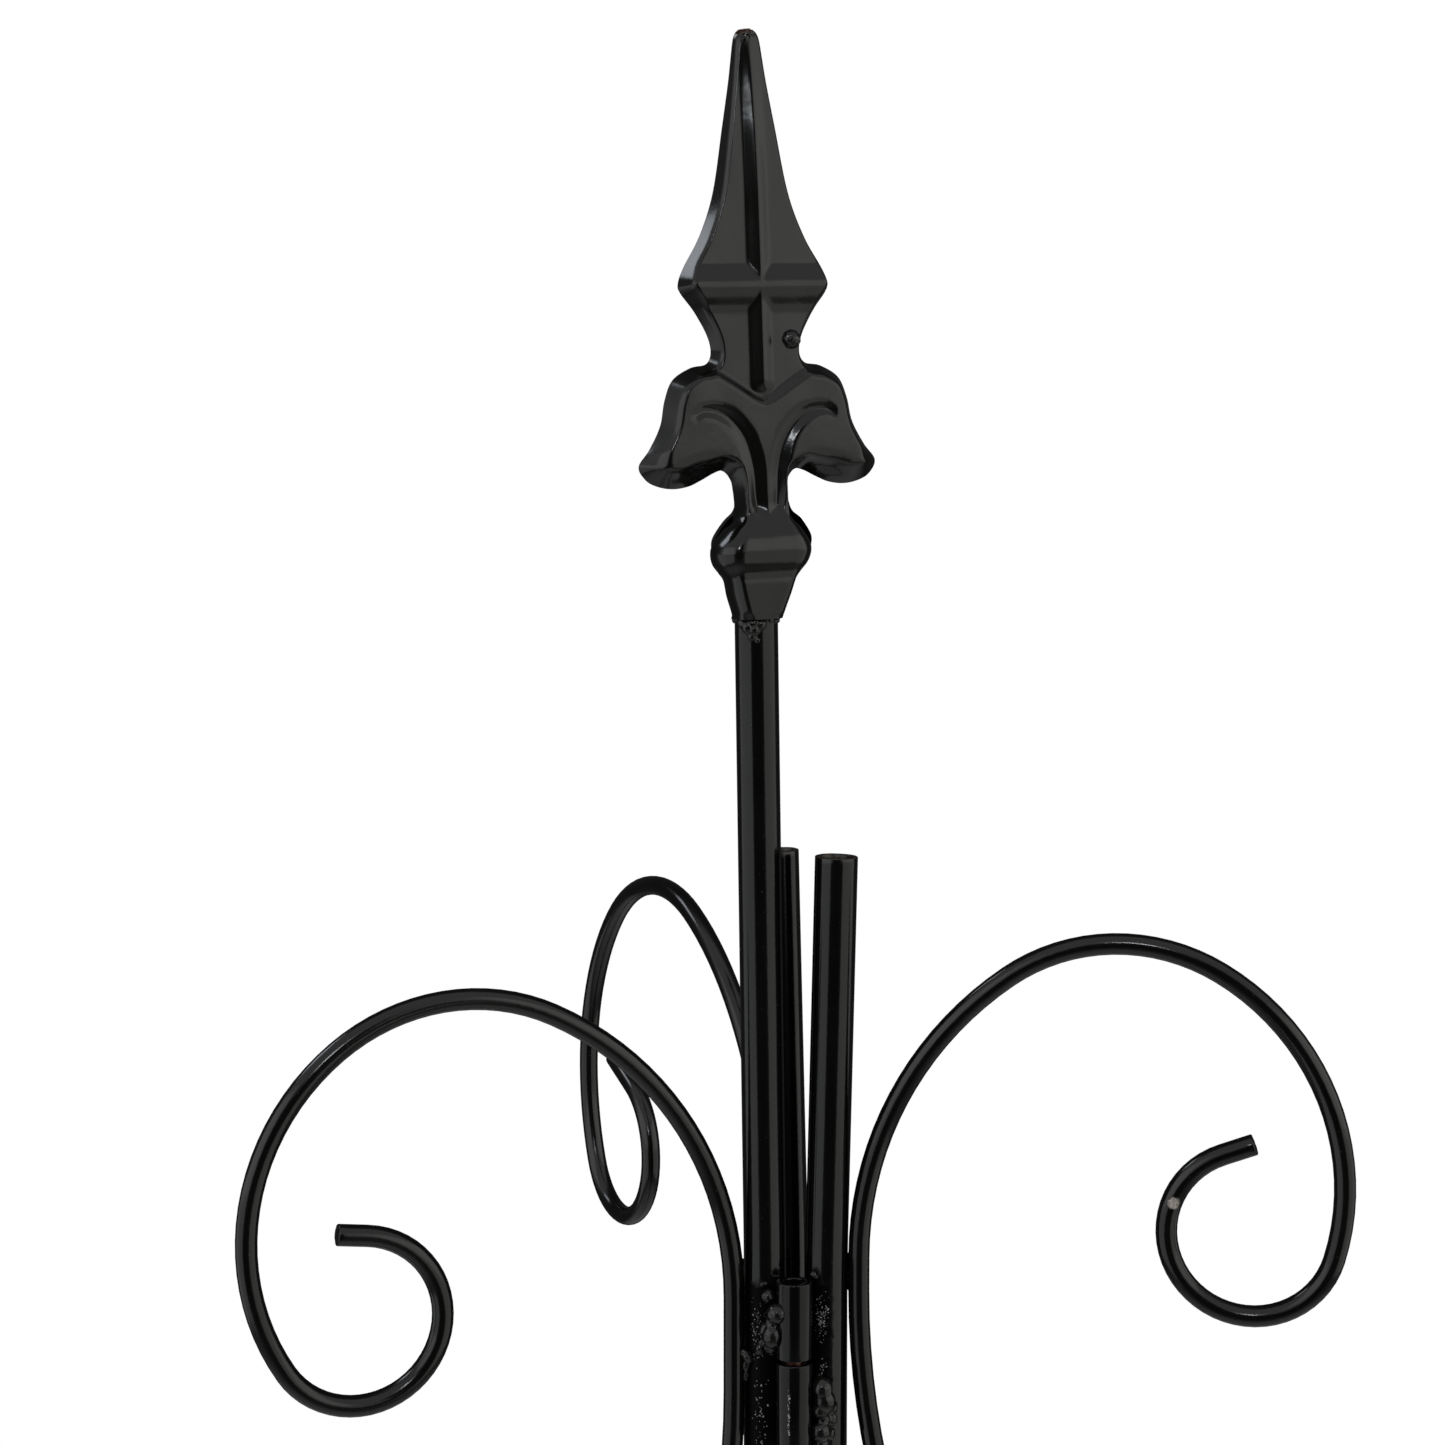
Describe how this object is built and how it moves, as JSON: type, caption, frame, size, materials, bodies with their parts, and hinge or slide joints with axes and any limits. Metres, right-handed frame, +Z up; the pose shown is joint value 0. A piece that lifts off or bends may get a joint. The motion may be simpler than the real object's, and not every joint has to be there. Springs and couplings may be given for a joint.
{
  "type": "metal trellis arch",
  "caption": "Folding three-legged garden trellis arch of black coated tube and bar, with scrolls and a pressed spear finial at the hub.",
  "frame": {"origin": "middle of the footprint, at ground level", "axes": "+Z up; +X to the right and +Y away from a viewer who sees the left and right legs spread in front of the rear leg"},
  "size_m": [1.3243, 0.8567, 2.4045],
  "materials": {
    "powder_coat": "gloss black powder coat",
    "finial_coat": "semi-gloss black powder coat on pressed sheet",
    "weld_coat": "gloss black coat over lumpy weld and spatter",
    "pin_steel": "bare steel with light rust",
    "zinc_steel": "zinc plated"
  },
  "bodies": {
    "left_leg": {"finial_back_shell": "finial_coat", "finial_front_shell": "finial_coat", "finial_rivet": "powder_coat", "finial_weld": "weld_coat", "front_hinge_knuckle_top": "powder_coat", "front_hinge_left_weld": "weld_coat", "front_hinge_pin": "pin_steel", "left_bar_sleeve": "powder_coat", "left_crown_bar": "powder_coat", "left_crown_rung_1": "powder_coat", "left_crown_rung_2": "powder_coat", "left_crown_tube": "powder_coat", "left_foot_plate": "powder_coat", "left_leg_bar": "powder_coat", "left_leg_tube": "powder_coat", "left_neck_weld": "weld_coat", "left_panel_scroll": "powder_coat", "left_rung_1": "powder_coat", "left_rung_2": "powder_coat", "left_rung_3": "powder_coat", "left_rung_4": "powder_coat", "left_tube_spigot": "zinc_steel", "rear_hinge_knuckle_top": "powder_coat", "rear_hinge_left_weld": "weld_coat", "rear_hinge_pin": "pin_steel"},
    "right_leg": {"front_hinge_knuckle_bottom": "powder_coat", "front_hinge_right_weld": "weld_coat", "right_bar_sleeve": "powder_coat", "right_crown_bar": "powder_coat", "right_crown_rung_1": "powder_coat", "right_crown_rung_2": "powder_coat", "right_crown_tube": "powder_coat", "right_foot_plate": "powder_coat", "right_leg_bar": "powder_coat", "right_leg_tube": "powder_coat", "right_neck_weld": "weld_coat", "right_panel_scroll": "powder_coat", "right_rung_1": "powder_coat", "right_rung_2": "powder_coat", "right_rung_3": "powder_coat", "right_rung_4": "powder_coat", "right_tube_spigot": "zinc_steel"},
    "rear_leg": {"rear_bar_sleeve": "powder_coat", "rear_crown_bar": "powder_coat", "rear_crown_rung_1": "powder_coat", "rear_crown_rung_2": "powder_coat", "rear_crown_tube": "powder_coat", "rear_foot_plate": "powder_coat", "rear_hinge_knuckle_bottom": "powder_coat", "rear_hinge_rear_weld": "weld_coat", "rear_leg_bar": "powder_coat", "rear_leg_tube": "powder_coat", "rear_neck_weld": "weld_coat", "rear_panel_scroll": "powder_coat", "rear_rung_1": "powder_coat", "rear_rung_2": "powder_coat", "rear_rung_3": "powder_coat", "rear_rung_4": "powder_coat", "rear_tube_spigot": "zinc_steel"}
  },
  "joints": [
    {"name": "right_leg_fold", "type": "hinge", "parent": "left_leg", "child": "right_leg", "pos_m": [-0.01338, -0.20666, 2.014], "axis": [0, 0, 1], "range_deg": [-145, 12]},
    {"name": "rear_leg_fold", "type": "hinge", "parent": "left_leg", "child": "rear_leg", "pos_m": [-0.02675, -0.18709, 2.014], "axis": [0, 0, 1], "range_deg": [-10, 80]}
  ]
}
